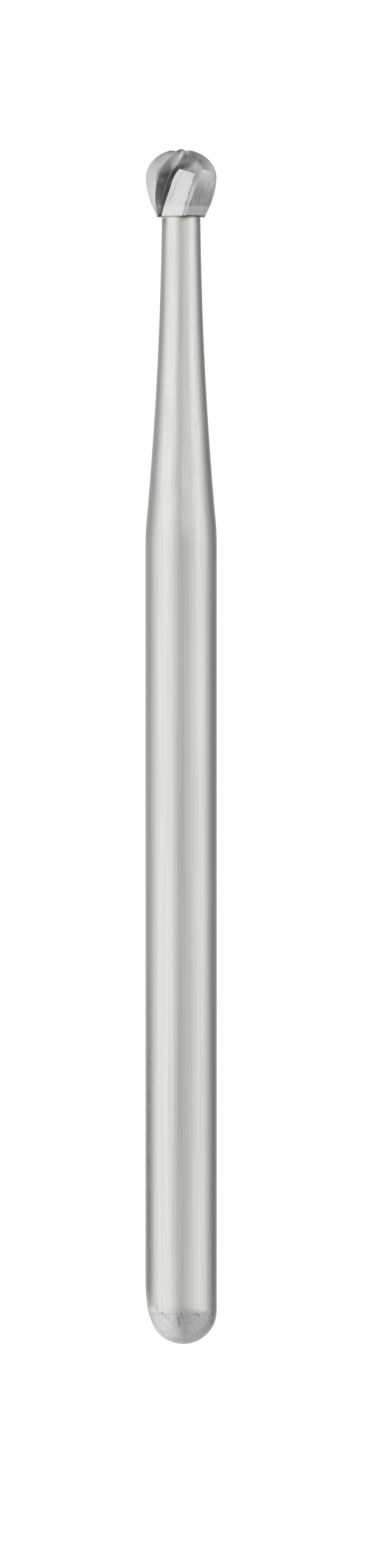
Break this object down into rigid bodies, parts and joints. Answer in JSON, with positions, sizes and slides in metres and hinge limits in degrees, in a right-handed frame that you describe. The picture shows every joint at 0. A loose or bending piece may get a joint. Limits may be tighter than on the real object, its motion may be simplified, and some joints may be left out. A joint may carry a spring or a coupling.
{
  "type": "carbide burr",
  "caption": "Round-nosed rotary cutting burr: a small carbide head with coarse helical blades, brazed to the slim neck of a plain round steel shank.",
  "frame": {"origin": "on the tool's axis, at the rear end of the straight cylindrical grip, where the rounded end begins", "axes": "+Z along the axis from the grip towards the cutting tip; +X to the right and -Y towards the viewer of the picture"},
  "size_m": [0.0016, 0.0016, 0.0268],
  "materials": {
    "shank_steel": "finely ground and polished, with faint lengthwise lines",
    "braze": "satin",
    "carbide": "ground, with fine wheel marks along the blades"
  },
  "bodies": {
    "root": {"steel_shank": "shank_steel", "braze_seam": "braze", "carbide_head": "carbide"}
  },
  "joints": []
}
